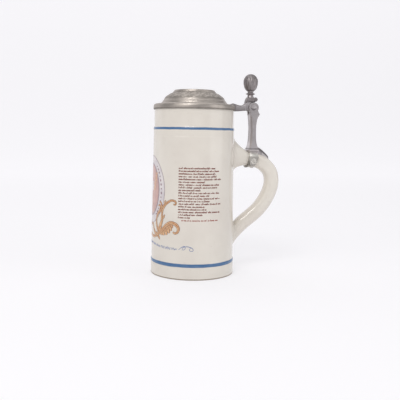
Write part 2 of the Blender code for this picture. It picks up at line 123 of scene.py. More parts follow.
def soften(corners, steps=3):
    """Rounds an outline of (a, b, radius) corners in mm into a list of (a, b) points in metres."""
    points = []
    for index, (a, b, radius) in enumerate(corners):
        here = Vector((a, b))
        if radius == 0 or index in (0, len(corners) - 1):
            points.append(here * MM)
            continue
        before = Vector(corners[index - 1][:2]) - here
        after = Vector(corners[index + 1][:2]) - here
        start = here + before.normalized() * min(radius, before.length * 0.48)
        end = here + after.normalized() * min(radius, after.length * 0.48)
        for step in range(steps + 1):
            t = step / steps
            points.append(((1 - t) ** 2 * start + 2 * t * (1 - t) * here + t * t * end) * MM)
    return [tuple(p) for p in points]


def round_outline(corners, steps=3):
    """As soften, for a closed outline."""
    looped = [corners[-1], *corners, corners[0]]
    points = []
    for before, here, after in zip(looped, looped[1:], looped[2:]):
        points += soften([(*before[:2], 0), here, (*after[:2], 0)], steps)[1:-1]
    return points


def raised(base, corners):
    """Corners whose heights are counted from a base."""
    return [(a, base + b, radius) for a, b, radius in corners]


def in_mm(points):
    return [(a * MM, b * MM) for a, b in points]


def shrink(outline, amount):
    """Draws a closed outline in by an amount, along each corner's bisector."""
    if amount == 0.0:
        return outline
    area = sum(a[0] * b[1] - b[0] * a[1] for a, b in zip(outline, outline[1:] + outline[:1]))
    turn = 1.0 if area > 0 else -1.0
    result = []
    for before, here, after in zip([outline[-1], *outline], outline, [*outline[1:], outline[0]]):
        along = Vector((after[0] - before[0], after[1] - before[1])).normalized()
        result.append((here[0] - along.y * turn * amount, here[1] + along.x * turn * amount))
    return result


def upright(radius, height, angle, row=0):
    """A turned point about the mug's axis."""
    return (radius * math.cos(angle), radius * math.sin(angle), height)


def along_y(x, z, depth):
    return (x, depth, z)


class Shape:
    """Collects the vertices and faces of one piece; every lump added to it is a closed solid."""

    def __init__(self):
        self.vertices = []
        self.faces = []

    def add(self, vertices, faces):
        first = len(self.vertices)
        self.vertices += [tuple(v) for v in vertices]
        self.faces += [[first + index for index in face] for face in faces]

    def loft(self, rings, looped=False):
        """Joins rings of points side by side; the ends are capped unless the rings form a loop."""
        sides = len(rings[0])
        faces = []
        pairs = len(rings) if looped else len(rings) - 1
        for ring in range(pairs):
            near, far = ring * sides, (ring + 1) % len(rings) * sides
            for side in range(sides):
                across = (side + 1) % sides
                faces.append([near + side, near + across, far + across, far + side])
        if not looped:
            last = (len(rings) - 1) * sides
            faces.append(list(range(sides))[::-1])
            faces.append(list(range(last, last + sides)))
        self.add([point for ring in rings for point in ring], faces)

    def turn(self, profile, segments, place):
        """Turns a profile whose ends lie on the axis; place(radius, height, angle, row) gives a point."""
        vertices, rings = [], []
        for row, (radius, height) in enumerate(profile):
            count = 1 if radius == 0 else segments
            rings.append(list(range(len(vertices), len(vertices) + count)))
            for step in range(count):
                vertices.append(place(radius, height, 2 * math.pi * step / segments, row))
        faces = []
        for lower, upper in zip(rings, rings[1:]):
            for step in range(segments):
                other = (step + 1) % segments
                corners = [lower[step % len(lower)], lower[other % len(lower)],
                           upper[other % len(upper)], upper[step % len(upper)]]
                faces.append(list(dict.fromkeys(corners)))
        self.add(vertices, faces)

    def prism(self, outline, low, high, place, bevel):
        """Extrudes a closed outline between two depths; place(a, b, depth) gives the point."""
        inset = min(bevel, (high - low) / 3)
        stages = ((low, inset), (low + inset, 0.0), (high - inset, 0.0), (high, inset))
        self.loft([[place(a, b, depth) for a, b in shrink(outline, drawn_in)] for depth, drawn_in in stages])

    def piece(self, name, material, body, slot, replaced=(), angle=40.0):
        """Makes the object, turns its faces outward, shades it and puts it on its body."""
        mesh = bpy.data.meshes.new(name)
        mesh.from_pydata(self.vertices, [], self.faces)
        working = bmesh.new()
        working.from_mesh(mesh)
        bmesh.ops.recalc_face_normals(working, faces=working.faces)
        working.to_mesh(mesh)
        working.free()
        mesh.shade_smooth()
        mesh.set_sharp_from_angle(angle=math.radians(angle))
        mesh.materials.append(material)
        thing = bpy.data.objects.new(name, mesh)
        bpy.context.scene.collection.objects.link(thing)
        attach(thing, body)
        if replaced:
            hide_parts(*replaced)
        return thing


def set_relief_and_painted_light(thing, values):
    """Stores how rubbed each vertex is, 0 in hollows and 1 or more on high spots, for the pewter; on some
    pieces the value also paints shade or a highlight.
    """
    layer = thing.data.attributes.new("relief_and_painted_light", 'FLOAT', 'POINT')
    layer.data.foreach_set("value", values)


# ---------------- materials

def linear(code):
    """An sRGB hex colour as linear red, green, blue and alpha."""
    channels = [int(code[index:index + 2], 16) / 255 for index in (1, 3, 5)]
    return [c / 12.92 if c <= 0.04045 else ((c + 0.055) / 1.055) ** 2.4 for c in channels] + [1.0]


def plug_in(node, **inputs):
    """Fills or links a node's inputs, named with _ for a space, or _ and the input's number."""
    for key, value in inputs.items():
        socket = node.inputs[int(key[1:])] if key[1:].isdigit() else node.inputs[key.replace("_", " ")]
        if isinstance(value, bpy.types.NodeSocket):
            node.id_data.links.new(value, socket)
        else:
            socket.default_value = value


def add_node(tree, kind, settings=None, stops=(), **inputs):
    """Adds a node with its settings, the stops of its colour ramp if it has one, and its inputs."""
    node = tree.nodes.new("ShaderNode" + kind)
    for key, value in (settings or {}).items():
        setattr(node, key, value)
    for index, (position, code) in enumerate(stops):
        node.color_ramp.elements[index].position = position
        node.color_ramp.elements[index].color = linear(code)
    plug_in(node, **inputs)
    return node


def start_material(name):
    material = bpy.data.materials.new(name)
    material.use_nodes = True
    tree = material.node_tree
    place = add_node(tree, "TexCoord").outputs["Object"]
    return material, tree, tree.nodes["Principled BSDF"], place


def cobalt_bands(tree, place, colour):
    """Two bands of cobalt blue on the beads, with an edge that wanders by a few tenths of a
    millimetre, laid over the glaze's own colour on the outside of the mug only."""
    wander = add_node(tree, "TexNoise", Vector=place, Scale=1 / (9 * MM), Detail=2.0)
    height = add_node(tree, "SeparateXYZ", Vector=place)
    shifted = add_node(tree, "Math", {"operation": 'MULTIPLY_ADD'}, _0=wander.outputs["Fac"],
                       _1=0.7 * MM, _2=height.outputs["Z"])
    flat = add_node(tree, "VectorMath", {"operation": 'MULTIPLY'}, _0=place, _1=(1.0, 1.0, 0.0))
    reach = add_node(tree, "VectorMath", {"operation": 'LENGTH'}, _0=flat.outputs[0])
    outside = add_node(tree, "Math", {"operation": 'GREATER_THAN'}, _0=reach.outputs["Value"],
                       _1=INNER_R + 2.5 * MM)
    thin = add_node(tree, "TexNoise", Vector=place, Scale=1 / (5 * MM), Detail=4.0)
    cobalt = add_node(tree, "Mix", {"data_type": 'RGBA'}, _0=thin.outputs["Fac"],
                      _6=linear("#3D6491"), _7=linear("#56799F"))
    for centre, width in ((LOW_BEAD_Z, 3.3 * MM), (HIGH_BEAD_Z, 2.3 * MM)):
        away = add_node(tree, "Math", {"operation": 'SUBTRACT'}, _0=shifted.outputs[0], _1=centre + 0.35 * MM)
        size = add_node(tree, "Math", {"operation": 'ABSOLUTE'}, _0=away.outputs[0])
        edge = add_node(tree, "MapRange", {"interpolation_type": 'SMOOTHSTEP'}, Value=size.outputs[0],
                        From_Min=width / 2 - 0.25 * MM, From_Max=width / 2 + 0.3 * MM,
                        To_Min=1.0, To_Max=0.0)
        kept = add_node(tree, "Math", {"operation": 'MULTIPLY'}, _0=edge.outputs["Result"],
                        _1=outside.outputs[0])
        colour = add_node(tree, "Mix", {"data_type": 'RGBA'}, _0=kept.outputs[0],
                          _6=colour, _7=cobalt.outputs[2]).outputs[2]
    return colour


def stoneware_glaze():
    """Grey-cream salt-glazed stoneware: a glassy skin over a buff body, with fine iron specks,
    cloudy tone and a pebbled skin, and two bands of cobalt blue painted on by hand on the wheel."""
    material, tree, shader, place = start_material("cream_stoneware_glaze")
    cloud = add_node(tree, "TexNoise", Vector=place, Scale=1 / (38 * MM), Detail=3.0, Roughness=0.55)
    tone = add_node(tree, "ValToRGB", stops=((0.36, "#DBD4CA"), (0.66, "#E2DCD2")), Fac=cloud.outputs["Fac"])
    # Iron specks in the clay, about 0.5 mm across and a few millimetres apart.
    cells = add_node(tree, "TexVoronoi", Vector=place, Scale=1 / (4.2 * MM))
    speck = add_node(tree, "MapRange", {"interpolation_type": 'SMOOTHSTEP'}, Value=cells.outputs["Distance"],
                     From_Min=0.05, From_Max=0.12, To_Min=0.28, To_Max=0.0)
    specked = add_node(tree, "Mix", {"data_type": 'RGBA'}, _0=speck.outputs["Result"],
                       _6=tone.outputs["Color"], _7=linear("#B9A88F"))
    painted = cobalt_bands(tree, place, specked.outputs[2])
    # Salt glaze is a glass: IOR 1.5, smooth, with a faint pebbled skin of 3 mm pitch.
    gloss = add_node(tree, "MapRange", Value=cloud.outputs["Fac"], From_Min=0.3, From_Max=0.7,
                     To_Min=0.07, To_Max=0.12)
    skin = add_node(tree, "TexNoise", Vector=place, Scale=1 / (3.0 * MM), Detail=3.0, Roughness=0.5)
    bump = add_node(tree, "Bump", Strength=0.10, Distance=0.25 * MM, Height=skin.outputs["Fac"])
    plug_in(shader, Base_Color=painted, IOR=1.5, Roughness=gloss.outputs["Result"],
            Normal=bump.outputs["Normal"])
    return material


def bare_clay_and_painted_contact_shade():
    """Unglazed fired stoneware on the underside of the foot: matt, gritty and a little darker, as painted
    shade: its dark ring at the foot's lower edge stands for the contact shadow on the floor.
    """
    material, tree, shader, place = start_material("bare_stoneware_and_painted_contact_shade")
    grit = add_node(tree, "TexNoise", Vector=place, Scale=1 / (0.9 * MM), Detail=4.0)
    tone = add_node(tree, "ValToRGB", stops=((0.3, "#8C7F72"), (0.7, "#ABA092")), Fac=grit.outputs["Fac"])
    bump = add_node(tree, "Bump", Strength=0.5, Distance=0.2 * MM, Height=grit.outputs["Fac"])
    plug_in(shader, Base_Color=tone.outputs["Color"], Roughness=0.85, Normal=bump.outputs["Normal"])
    return material


def cast_pewter(name, dark, light, rough_low, rough_high):
    """Pewter, a soft tin alloy, cast and hand finished: a dull grey skin with a darker stain in the
    hollows and a rubbed brightness where the vertex value is high; on some pieces that value also paints
    shade or a highlight."""
    material, tree, shader, place = start_material(name)
    relief_and_painted_light = add_node(tree, "Attribute", {"attribute_name": "relief_and_painted_light"}).outputs["Fac"]
    blotch = add_node(tree, "TexNoise", Vector=place, Scale=1 / (7 * MM), Detail=5.0, Roughness=0.6)
    grain = add_node(tree, "TexNoise", Vector=place, Scale=1 / (0.9 * MM), Detail=3.0, Roughness=0.6)
    mixed = add_node(tree, "Math", {"operation": 'MULTIPLY_ADD'}, _0=blotch.outputs["Fac"], _1=0.85,
                     _2=relief_and_painted_light)
    worn_and_painted_light = add_node(tree, "Math", {"operation": 'MULTIPLY_ADD'}, _0=grain.outputs["Fac"], _1=0.3,
                    _2=mixed.outputs[0])
    rubbed_and_painted_light = add_node(tree, "MapRange", Value=worn_and_painted_light.outputs[0], From_Min=0.35, From_Max=1.55)
    tone = add_node(tree, "ValToRGB", stops=((0.0, dark), (1.0, light)), Fac=rubbed_and_painted_light.outputs["Result"])
    dull = add_node(tree, "MapRange", Value=worn_and_painted_light.outputs[0], From_Min=0.4, From_Max=1.5,
                    To_Min=rough_high, To_Max=rough_low)
    cast = add_node(tree, "Bump", Strength=0.25, Distance=0.12 * MM, Height=grain.outputs["Fac"])
    dents = add_node(tree, "Bump", Strength=0.30, Distance=0.5 * MM, Height=blotch.outputs["Fac"],
                     Normal=cast.outputs["Normal"])
    plug_in(shader, Base_Color=tone.outputs["Color"], Metallic=1.0, Roughness=dull.outputs["Result"],
            Normal=dents.outputs["Normal"])
    return material


def fired_enamel(name, first, second, patch_mm):
    """On-glaze enamel, painted or transferred and fired on: a thin, slightly uneven gloss colour."""
    material, tree, shader, place = start_material(name)
    wash = add_node(tree, "TexNoise", Vector=place, Scale=1 / (patch_mm * MM), Detail=3.0, Roughness=0.6)
    tone = add_node(tree, "ValToRGB", stops=((0.34, first), (0.66, second)), Fac=wash.outputs["Fac"])
    plug_in(shader, Base_Color=tone.outputs["Color"], IOR=1.5, Roughness=0.26)
    return material


def drawn_steel():
    """Plain drawn wire for the hinge pin: grey metal with a slightly uneven, part-polished tone."""
    material, tree, shader, place = start_material("drawn_steel_pin")
    haze = add_node(tree, "TexNoise", Vector=place, Scale=1 / (0.6 * MM), Detail=2.0)
    tone = add_node(tree, "ValToRGB", stops=((0.0, "#77777A"), (1.0, "#A3A3A6")), Fac=haze.outputs["Fac"])
    plug_in(shader, Base_Color=tone.outputs["Color"], Metallic=1.0, Roughness=0.35)
    return material


def studio_paper():
    """Pale matt paper, lit a little from behind, and more so where it curves up far from the lamps."""
    material, tree, shader, place = start_material("studio_paper")
    depth = add_node(tree, "SeparateXYZ", Vector=place)
    glow = add_node(tree, "MapRange", Value=depth.outputs["Y"], From_Min=0.1, From_Max=1.6,
                    To_Min=0.55, To_Max=0.668)
    plug_in(shader, Base_Color=linear("#ADACAD"), Roughness=0.9, Emission_Color=linear("#FDFCFF"),
            Emission_Strength=glow.outputs["Result"])
    return material


# ---------------- stoneware mug

def wall_profile():
    """Outside of the mug from the foot's edge to the lip, as softened corners in mm."""
    low_z, low_h = LOW_BEAD_Z / MM, LOW_BEAD_W / MM / 2
    high_z, high_h = HIGH_BEAD_Z / MM, HIGH_BEAD_W / MM / 2
    foot, wall, waist, rim = FOOT_R / MM, WALL_R / MM, WAIST_R / MM, RIM_R / MM
    waist_z, step_z = WAIST_Z / MM, STEP_Z / MM
    corners = [(foot - 1.4, 0.0, 0.0), (foot, 0.0, 1.3), (foot, low_z - low_h - 0.1, 0.3),
               (foot - 0.25, low_z - low_h + 0.1, 0.3), (foot + 0.05, low_z - 0.9, 0.8),
               (foot + 0.05, low_z + 0.9, 0.8), (wall, low_z + low_h, 0.8)]
    for share in (0.2, 0.35, 0.5, 0.65, 0.8):
        radius = lerp(wall, waist, smoothstep(0.0, 1.0, share))
        corners.append((radius, lerp(low_z + low_h, waist_z, share), 8.0))
    corners += [(waist, waist_z, 2.0), (waist + 0.02, step_z - 0.5, 0.4), (waist - 0.16, step_z + 0.2, 0.5),
                (waist - 0.12, high_z - high_h - 0.2, 0.5), (waist + 0.10, high_z - 0.6, 0.6),
                (rim + 0.85, high_z + 0.5, 0.6), (rim, high_z + high_h + 0.3, 0.8),
                (rim, RIM_Z / MM - 6.0, 0.0)]
    return soften(corners, 3)


WALL_LINE = [(z, r) for r, z in wall_profile()]


def wall_radius(z):
    return table_value(WALL_LINE, z)


def make_mug(glaze, clay):
    """The thrown body: straight inside, rounded lip, and an unglazed foot with a shallow hollow."""
    inner, rim, top = INNER_R / MM, RIM_R / MM, RIM_Z / MM
    lip = raised(top, [(rim, -6.0, 0.0), (rim, -2.2, 0.5), (rim - 0.1, 0.0, 2.1), (inner + 0.1, 0.0, 2.1),
                       (inner, -2.4, 0.5)])
    lip += [(inner, 40.0, 0.5), (inner, 9.0, 8.0), (18.0, 8.9, 4.0), (0.0, 9.2, 0.0)]
    under = [(0.0, 0.9, 0.0), (33.0, 0.8, 1.5), (35.2, 0.0, 0.8), (FOOT_R / MM - 1.4, 0.0, 0.0)]
    shape = Shape()
    shape.turn(soften(under, 4) + wall_profile()[1:] + soften(lip, 7)[1:], 160, upright)
    mug = shape.piece("glazed_stoneware_mug", glaze, "mug", "glazed_stoneware", ["stoneware_body"], 60)
    mug.data.materials.append(clay)
    # Faces lower than 1 mm take the bare clay: a real unglazed underside, whose darker ring at the foot's
    # edge is painted contact shade.
    for face in mug.data.polygons:
        centre = face.center
        if centre.z < 1.0 * MM and math.hypot(centre.x, centre.y) > 5 * MM:
            face.material_index = 1


def section(station, before, after, grow=0.0):
    """One rounded cross-section of the handle, square to the way it runs, as a ring of points."""
    x, z, thick, wide = (value * MM for value in station)
    along = Vector((after[0] - before[0], 0, after[1] - before[1])).normalized()
    outward = Vector((-along.z, 0, along.x))
    points = []
    for step in range(HANDLE_SIDES):
        angle = 2 * math.pi * step / HANDLE_SIDES
        ahead, across = (math.copysign(abs(part) ** (2 / HANDLE_SQUARENESS), part)
                         for part in (math.cos(angle), math.sin(angle)))
        points.append(Vector((x, 0, z)) + outward * (thick + grow) * ahead
                      + Vector((0, (wide + grow) * across, 0)))
    return points


def handle_rings():
    route = curve_through(HANDLE_ROUTE, 6)
    return [section(here, route[max(index - 1, 0)], route[min(index + 1, len(route) - 1)])
            for index, here in enumerate(route)]


def root_fillet(end, inner, spread):
    """Rings that carry the end of the handle on to the wall in a hollow curve, then into it."""
    corners = []
    for point, behind in zip(end, inner):
        stride = (point - behind).normalized() * 0.25 * MM
        reach = point.copy()
        for _ in range(200):
            if math.hypot(reach.x, reach.y) <= wall_radius(reach.z):
                break
            reach += stride
        corners.append(reach)
    middle = sum(corner.z for corner in corners) / len(corners)
    # Each foot of the curve lies on the wall, further out from the handle's middle than its corner.
    feet = []
    for point, corner in zip(end, corners):
        radius = wall_radius(corner.z)
        away = Vector((radius * math.atan2(corner.y, corner.x), corner.z - middle))
        run = min(spread, (point - corner).length * 0.9)
        heading = away.normalized()
        away += Vector((heading.x * run * 0.45, heading.y * run))
        radius = wall_radius(away.y + middle) - 0.03 * MM
        feet.append(Vector(upright(radius, away.y + middle, away.x / radius)))
    rings = []
    steps = 9
    for step in range(1, steps + 1):
        t = step / steps
        rings.append([(1 - t) ** 2 * a + 2 * t * (1 - t) * b + t * t * c
                      for a, b, c in zip(end, corners, feet)])
    rings.append([Vector((p.x * 0.97, p.y * 0.97, p.z)) for p in rings[-1]])
    return rings


def make_handle(glaze):
    """The pulled loop, luted to the wall: both roots run out into the body in one skin of glaze."""
    rings = handle_rings()
    top = root_fillet(rings[0], rings[2], 7.0 * MM)
    bottom = root_fillet(rings[-1], rings[-3], 5.0 * MM)
    shape = Shape()
    shape.loft(top[::-1] + rings + bottom)
    shape.piece("glazed_stoneware_handle", glaze, "mug", "glazed_stoneware", ["stoneware_handle"], 70)


# ---------------- painted decoration
# Places on the wall are (s, z) in mm: s runs round the wall from the middle of the front,
# opposite the handle, towards the side with the rows of script; z is the height.

FRONT_R = 41.2                          # radius in mm at which s is measured
ROOT = -0.12                            # how deep paint reaches into the glaze, in mm
MEDAL = (0.0, 84.5)                     # centre of the oval on the front


def on_wall(s, z, lift):
    return upright(wall_radius(z * MM) + lift * MM, z * MM, math.pi + s / FRONT_R)


def paint_ring(left, right, cross, lift):
    """A flat closed section of paint between two places on the wall, sunk a little into the glaze."""
    top = [on_wall(lerp(left[0], right[0], k / cross), lerp(left[1], right[1], k / cross), lift)
           for k in range(cross + 1)]
    return top + [on_wall(*right, ROOT), on_wall(*left, ROOT)]


def brush(shape, route, widths, lift, cross=2, steps=5):
    """A brush stroke along a smooth route, whose width follows its own list."""
    path = curve_through([(*point, width) for point, width in zip(route, widths)], steps)
    rings = []
    for index, (s, z, width) in enumerate(path):
        before, after = path[max(index - 1, 0)], path[min(index + 1, len(path) - 1)]
        along = Vector((after[0] - before[0], after[1] - before[1])).normalized()
        side = Vector((-along.y, along.x)) * max(width, 0.04) / 2
        rings.append(paint_ring((s + side.x, z + side.y), (s - side.x, z - side.y), cross, lift))
    shape.loft(rings)


def oval_band(shape, centre, outer, inner, lift, cross, steps=96):
    rings = []
    for step in range(steps):
        angle = 2 * math.pi * step / steps
        ends = [(centre[0] + half[0] * math.cos(angle), centre[1] + half[1] * math.sin(angle))
                for half in (outer, inner)]
        rings.append(paint_ring(*ends, cross, lift))
    shape.loft(rings, looped=True)


def painted_piece(shape, name, enamel):
    shape.piece(name, enamel, "mug", "glazed_stoneware")


# Ovals of the medallion, in mm: the half sizes of each band's outer and inner edge, how far it
# stands off the glaze, and how many strips it has across.
MEDAL_OVALS = {
    "field": ("rose", [((17.2, 25.2), (0.3, 0.3), 0.05, 9)]),
    "ribbon": ("pearl", [((25.4, 32.9), (17.0, 25.0), 0.06, 5)]),
    "rings": ("plum_grey", [((26.1, 33.6), (25.5, 33.0), 0.09, 1), ((18.1, 26.1), (16.9, 24.9), 0.09, 1),
                            ((16.4, 24.4), (16.1, 24.1), 0.09, 1)])}


def make_medallion(colours):
    """Oval badge on the front: a pale ribbon round a pink field, with a plain flower and barley."""
    for part, (colour, bands) in MEDAL_OVALS.items():
        shape = Shape()
        for outer, inner, lift, cross in bands:
            oval_band(shape, MEDAL, outer, inner, lift, cross)
        painted_piece(shape, "medallion_" + part, colours[colour])
    make_lozenges(colours["plum"])
    make_flower(colours["pearl"])
    make_barley(colours["amber"])


def make_lozenges(enamel):
    """Lozenges and dots, evenly spaced round the ribbon apart from its top and bottom."""
    shape = Shape()
    count, wide, tall = 44, 21.1, 28.9
    for step in range(count):
        angle = 2 * math.pi * (step + 0.5) / count
        if -0.80 < math.sin(angle) < 0.62 or abs(math.cos(angle)) > 0.5:
            s, z = MEDAL[0] + wide * math.cos(angle), MEDAL[1] + tall * math.sin(angle)
            along = Vector((-wide * math.sin(angle), tall * math.cos(angle))).normalized()
            reach = 1.35 if step % 3 else 0.7
            route = [(s - along.x * reach, z - along.y * reach), (s, z),
                     (s + along.x * reach, z + along.y * reach)]
            brush(shape, route, [0.3, 1.7, 0.3], 0.09, 1, 3)
    painted_piece(shape, "medallion_lozenges", enamel)


def make_flower(enamel):
    """A plain eight-petal flower with a round middle."""
    shape = Shape()
    middle = (MEDAL[0], MEDAL[1] + 4)
    for step in range(8):
        angle = math.pi / 4 * step
        ahead = Vector((math.cos(angle), math.sin(angle)))
        route = [(middle[0] + ahead.x * r, middle[1] + ahead.y * r) for r in (1.2, 3.4, 6.2)]
        brush(shape, route, [0.6, 2.6, 0.4], 0.10)
    oval_band(shape, middle, (1.5, 1.5), (0.2, 0.2), 0.12, 2, 24)
    painted_piece(shape, "medallion_flower", enamel)


def make_barley(enamel):
    """Two crossed ears of barley, each a stem with eight pairs of grains."""
    shape = Shape()
    for side in (-1, 1):
        stem = [(7.5, 63.0), (2.5, 70.0), (-5.0, 80.0), (-10.5, 92.0), (-11.5, 99.0)]
        brush(shape, [(side * s, z) for s, z in stem], [0.35, 0.4, 0.4, 0.4, 0.2], 0.08, 1)
        for step in range(8):
            t = step / 7
            s, z = lerp(-side * 7.0, -side * 11.5, t), lerp(84.0, 100.0, t)
            for lean in (-1, 1):
                tip = (s + lean * 1.9 - side * 0.5, z + 2.3)
                grain = [(s, z), ((s + tip[0]) / 2 + lean * 0.4, z + 1.0), tip]
                brush(shape, grain, [0.2, 1.1, 0.15], 0.10, 1, 3)
    painted_piece(shape, "medallion_barley", enamel)


# Scrolls of leaves under the medallion: the route and widths of each stroke, in mm, lowest layer first.
LEAF_STROKES = [
    ([(17.0, 42.0), (11.0, 39.4), (5.0, 38.6), (0.0, 40.2)], [2.6, 2.6, 2.0, 2.4]),
    ([(12.5, 41.5), (8.0, 45.5), (5.6, 50.0), (2.8, 51.6), (1.2, 49.4)], [2.2, 2.4, 1.8, 1.4, 0.8]),
    ([(18.0, 44.0), (14.6, 50.0), (13.8, 56.0), (15.6, 61.0), (18.6, 64.6), (20.4, 68.4), (18.8, 70.6),
      (16.9, 69.4)], [2.4, 2.2, 1.8, 2.2, 2.2, 1.7, 1.2, 0.7]),
    ([(18.6, 63.0), (21.4, 66.6), (22.2, 70.6), (20.6, 73.6), (18.6, 73.0)], [1.4, 1.9, 1.6, 1.2, 0.6]),
    ([(13.0, 43.0), (16.5, 41.0), (19.0, 38.8), (19.8, 36.8)], [2.6, 2.6, 1.6, 0.5]),
    ([(20.4, 46.0), (21.8, 51.5), (23.1, 57.4), (22.9, 62.5), (23.8, 67.4), (26.6, 71.3), (30.7, 74.4),
      (34.6, 76.2), (38.2, 75.8), (39.6, 73.9), (38.4, 72.3), (36.9, 73.0)],
     [2.6, 2.0, 2.8, 1.7, 2.7, 2.4, 1.9, 1.6, 1.5, 1.2, 0.9, 0.6]),
    ([(23.0, 58.0), (25.2, 59.4), (26.6, 62.0)], [1.5, 1.5, 0.4]),
    ([(23.6, 66.4), (21.8, 68.8), (22.0, 71.6)], [1.6, 1.7, 0.5]),
    ([(27.6, 71.6), (26.8, 73.8), (27.6, 76.0)], [1.3, 1.4, 0.4]),
    ([(17.6, 44.6), (20.6, 50.6), (22.8, 56.4)], [3.0, 3.6, 0.7]),
    ([(21.4, 45.4), (22.4, 43.4), (22.6, 41.6)], [2.2, 2.6, 1.3]),
    ([(23.8, 46.8), (25.4, 44.0), (26.0, 41.8)], [2.2, 3.0, 1.5]),
    ([(26.4, 48.8), (28.6, 45.6), (29.6, 42.6)], [2.2, 3.1, 1.5]),
    ([(29.0, 50.8), (31.4, 47.6), (32.6, 44.6)], [2.2, 2.9, 1.3]),
    ([(31.4, 52.4), (33.8, 49.6), (34.8, 47.0)], [2.0, 2.4, 1.0]),
    ([(33.8, 53.4), (35.6, 51.6), (36.2, 49.8)], [1.6, 1.8, 0.6]),
    ([(15.5, 41.5), (19.5, 43.8), (24.5, 47.9), (29.5, 52.6), (34.5, 54.8), (39.8, 53.4), (42.5, 49.8),
      (41.5, 46.2), (38.8, 44.9), (37.0, 46.2)], [2.6, 2.8, 2.6, 2.5, 2.6, 2.7, 2.4, 1.8, 1.4, 0.9])]


def make_leaf_scrolls(colours):
    """Acanthus scrolls on both sides: each stroke is edged in umber, filled in amber and veined along
    its middle, and lies over the strokes before it."""
    outline, fill, veins = Shape(), Shape(), Shape()
    for layer, (route, widths) in enumerate(LEAF_STROKES):
        lift = 0.09 + 0.012 * layer
        for side in (1, -1):
            line = [(side * s, z) for s, z in route]
            brush(outline, line, [w + 0.6 for w in widths], lift, 3)
            brush(fill, line, [max(w - 0.1, 0.3) for w in widths], lift + 0.004, 3)
            brush(veins, line[:-1], [max(0.22 * w, 0.40) for w in widths[:-1]], lift + 0.008, 1)
    painted_piece(outline, "leaf_scroll_outline", colours["umber"])
    painted_piece(fill, "leaf_scroll_fill", colours["amber"])
    painted_piece(veins, "leaf_scroll_veins", colours["sienna"])


# Small pen marks, none of them a letter: ticks, dashes and waves, as (across, up) points in mm.
PEN_MARKS = [
    [(0.0, -0.6), (0.14, 0.0), (0.28, 0.6)],
    [(0.0, 0.15), (0.30, -0.15), (0.70, 0.15)],
    [(0.0, 0.55), (0.20, -0.50), (0.42, 0.50), (0.64, -0.55)],
    [(0.0, -0.6), (0.20, 0.4), (0.40, 1.20)],
    [(0.0, -0.5), (0.24, 0.5), (0.46, -0.45), (0.70, 0.5), (0.92, -0.4)]]


def pen_word(shape, s, z, length, draw, weight):
    """A run of small pen marks, which stands for a word and spells nothing."""
    at = s
    while at < s + length:
        mark = draw.choice(PEN_MARKS)
        brush(shape, [(at + across, z + up) for across, up in mark], [weight] * len(mark), 0.07, 1, 2)
        at += mark[-1][0] * 0.75 + draw.uniform(0.42, 0.58)


def make_script_panel(colours):
    """Twenty rows of small pen marks on the side, set like a short verse or a list."""
    draw = random.Random(12)
    rows, last_row = Shape(), Shape()
    top_z, pitch, left, right = 107.2, 2.60, 42.0, 84.6
    for row in range(19):
        z = top_z - row * pitch
        verse_end = row % 9 in (5, 8)
        end = right - (draw.uniform(12, 22) if verse_end else draw.choice((0.0, 1.0, 2.5, 6.0, 13.0)))
        if row == 18:
            end = left + 13.0
        s = left
        while s < end - 1.5:
            length = min(draw.uniform(2.2, 8.5), end - s)
            pen_word(rows, s, z, length, draw, 0.52)
            s += length + draw.uniform(0.9, 1.3)
    s = left + 3.5
    while s < right - 4.0:
        length = min(draw.uniform(5.0, 9.0), right - 3.0 - s)
        pen_word(last_row, s, top_z - 19.05 * pitch, length, draw, 0.40)
        s += length + 1.2
    painted_piece(rows, "script_rows", colours["brick"])
    painted_piece(last_row, "script_last_row", colours["red_clay"])


# Open loops at each end of the blue line: place round the wall, height and width of the line, in mm.
LOOPS = [(43.0, 29.4, 0.4), (45.6, 31.6, 0.5), (48.6, 33.0, 0.65), (49.6, 31.0, 0.5), (47.6, 29.4, 0.4),
         (46.6, 31.0, 0.4), (49.4, 32.6, 0.55), (53.0, 32.6, 0.7), (56.6, 31.0, 0.6), (57.0, 28.8, 0.5),
         (54.4, 28.6, 0.45), (53.6, 30.2, 0.4), (55.0, 31.4, 0.3)]


def make_blue_flourish(enamel):
    """A running pen line below the medallion that sinks towards its ends and ends in open loops."""
    line = Shape()
    draw = random.Random(5)
    for side in (-1, 1):
        s = 1.2
        while s < 42.0:
            length = draw.uniform(4.0, 7.0)
            route, widths = [], []
            steps = int(length / 0.8)
            for step in range(steps + 1):
                at = s + length * step / steps
                z = 31.9 - 2.1 * smoothstep(0, 34, at)
                swing = 1.5 if step % 2 else -1.2
                route.append((side * (at + 0.2 * (step % 2)), z + swing * draw.uniform(0.35, 1.1)))
                widths.append(draw.uniform(0.32, 0.5))
            brush(line, route, widths, 0.07, 1, 3)
            s += length + 1.1
        route = [(side * s, z) for s, z, width in LOOPS]
        brush(line, route, [width for s, z, width in LOOPS], 0.07, 1, 5)
    painted_piece(line, "blue_flourish", enamel)


# ---------------- pewter lid

GARLAND_REPEATS = 16
DOME_ROWS = 34
# One repeat of the wreath, from -1 to 1 both ways: middle and half size of each leaf, and its lean.
GARLAND_LEAVES = [(-0.40, 0.30, 0.62, 0.30, 0.6), (0.42, -0.32, 0.62, 0.30, 0.5),
                  (0.10, 0.62, 0.34, 0.20, -0.6), (-0.12, -0.66, 0.34, 0.20, -0.6)]
GARLAND_BERRIES = [(-0.92, -0.35), (0.86, 0.42), (0.02, 0.02)]


def leaf_bump(u, v, centre, size, lean):
    """Height of one cast leaf at a place, from 0 to 1, with a groove along its middle."""
    du, dv = u - centre[0], v - centre[1]
    along = du * math.cos(lean) + dv * math.sin(lean)
    across = -du * math.sin(lean) + dv * math.cos(lean)
    inside = 1 - (along / size[0]) ** 2 - (across / size[1]) ** 2
    if inside <= 0:
        return 0.0
    return math.sqrt(inside) * (1 - 0.45 * math.exp(-(across / (0.16 * size[1])) ** 2))


